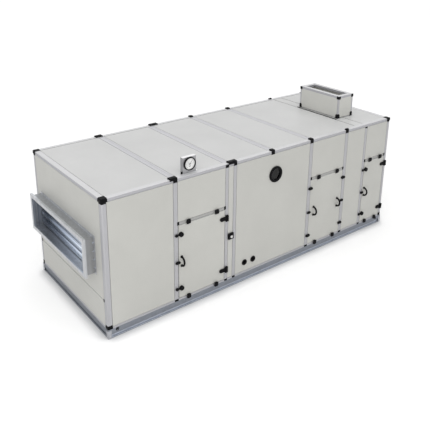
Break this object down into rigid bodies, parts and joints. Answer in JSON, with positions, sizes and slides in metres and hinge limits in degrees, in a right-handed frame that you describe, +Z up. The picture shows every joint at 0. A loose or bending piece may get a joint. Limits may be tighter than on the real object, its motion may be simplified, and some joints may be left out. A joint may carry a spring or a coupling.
{
  "type": "air handling unit",
  "caption": "Horizontal air handling unit casing of framed sandwich panels on a base frame, with service doors, louvre inlet damper, porthole and roof discharge box.",
  "frame": {"origin": "on the floor under the middle of the casing, at the underside of the middle cross member", "axes": "+X along the length from the inlet end to the discharge end, -Y towards the service side, +Z up"},
  "size_m": [3.708, 1.428, 1.544],
  "materials": {
    "panel": "satin",
    "aluminium": "satin",
    "galvanised": "satin",
    "bright_zinc": "satin",
    "black_plastic": "matte",
    "pale_plastic": "satin",
    "rubber": "matte",
    "glass": "gloss"
  },
  "bodies": {
    "casing": {"base_rails": "galvanised", "base_cross_members": "galvanised", "base_corner_brackets": "bright_zinc", "bottom_rails": "aluminium", "corner_posts": "aluminium", "front_posts": "aluminium", "back_posts": "aluminium", "top_rails": "aluminium", "roof_crossbars": "aluminium", "door_bars": "panel", "corner_caps": "black_plastic", "rail_connectors": "black_plastic", "floor_panels": "panel", "front_panels": "panel", "coil_panel": "panel", "roof_panels": "panel", "back_panels": "panel", "inlet_end_panels": "panel", "discharge_end_panel": "panel", "porthole_ring": "black_plastic", "porthole_glass": "glass", "pipe_grommets": "rubber", "isolator_switch": "black_plastic", "gauge_bracket": "bright_zinc", "gauge": "black_plastic", "damper_frame": "galvanised", "discharge_frame": "aluminium", "discharge_walls": "panel", "discharge_caps": "black_plastic", "access_panel": "panel", "access_handles": "black_plastic", "access_latches": "black_plastic", "hinge_blocks": "black_plastic"},
    "door_1": {"door_1_panel": "panel", "door_1_handle": "black_plastic", "door_1_latches": "black_plastic", "door_1_hinge_leaves": "black_plastic"},
    "door_3": {"door_3_panel": "panel", "door_3_handle": "black_plastic", "door_3_latches": "black_plastic", "door_3_hinge_leaves": "black_plastic"},
    "isolator_knob": {"isolator_knob": "pale_plastic"},
    "damper_blade_1": {"damper_blade_1": "galvanised"},
    "damper_blade_2": {"damper_blade_2": "galvanised"},
    "damper_blade_3": {"damper_blade_3": "galvanised"},
    "damper_blade_4": {"damper_blade_4": "galvanised"}
  },
  "joints": [
    {"name": "door_1_hinge", "type": "hinge", "parent": "casing", "child": "door_1", "pos_m": [-0.55, -0.696, 0.471], "axis": [0, 0, 1], "range_deg": [0, 120]},
    {"name": "door_3_hinge", "type": "hinge", "parent": "casing", "child": "door_3", "pos_m": [1.765, -0.696, 0.471], "axis": [0, 0, 1], "range_deg": [0, 120]},
    {"name": "isolator_turn", "type": "hinge", "parent": "casing", "child": "isolator_knob", "pos_m": [-0.494, -0.701, 0.556], "axis": [0, -1, 0], "range_deg": [0, 90]},
    {"name": "damper_shaft_1", "type": "hinge", "parent": "casing", "child": "damper_blade_1", "pos_m": [-1.812, 0.02, 0.8495], "axis": [0, 1, 0], "range_deg": [0, 90]},
    {"name": "damper_shaft_2", "type": "hinge", "parent": "casing", "child": "damper_blade_2", "pos_m": [-1.812, 0.02, 0.7705], "axis": [0, 1, 0], "range_deg": [-90, 0]},
    {"name": "damper_shaft_3", "type": "hinge", "parent": "casing", "child": "damper_blade_3", "pos_m": [-1.812, 0.02, 0.6915], "axis": [0, 1, 0], "range_deg": [0, 90]},
    {"name": "damper_shaft_4", "type": "hinge", "parent": "casing", "child": "damper_blade_4", "pos_m": [-1.812, 0.02, 0.6125], "axis": [0, 1, 0], "range_deg": [-90, 0]}
  ],
  "couplings": [
    {"joint": "damper_shaft_2", "follows": "damper_shaft_1", "ratio": -1},
    {"joint": "damper_shaft_3", "follows": "damper_shaft_1", "ratio": 1},
    {"joint": "damper_shaft_4", "follows": "damper_shaft_1", "ratio": -1}
  ]
}
